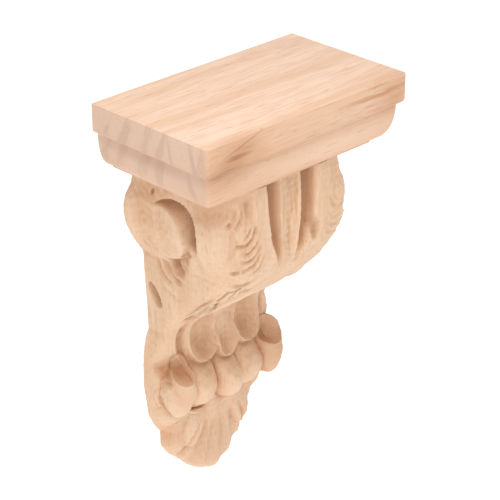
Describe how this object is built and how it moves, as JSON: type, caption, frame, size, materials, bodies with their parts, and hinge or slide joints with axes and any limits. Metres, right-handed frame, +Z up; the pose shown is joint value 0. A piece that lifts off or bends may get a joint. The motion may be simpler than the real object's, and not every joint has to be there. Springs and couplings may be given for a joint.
{
  "type": "carved wood bracket",
  "caption": "Carved wooden corbel: a moulded cap board glued over a scrolled, leaf-carved block that tapers down to a shell tip, with a flat back for fixing to a wall or a cabinet.",
  "frame": {"origin": "on the flat back, at the wall, on the middle line, 84 mm under the top of the cap", "axes": "+Z up along the height, +Y into the wall, -Y out to the front, +X to the right seen from the front"},
  "size_m": [0.1, 0.0583, 0.1723],
  "materials": {
    "cap_wood": "raw sanded, pale straw, grain along the length",
    "block_wood": "raw carved, pale straw, grain upright"
  },
  "bodies": {
    "root": {"cap_board": "cap_wood", "carved_block": "block_wood"}
  },
  "joints": []
}
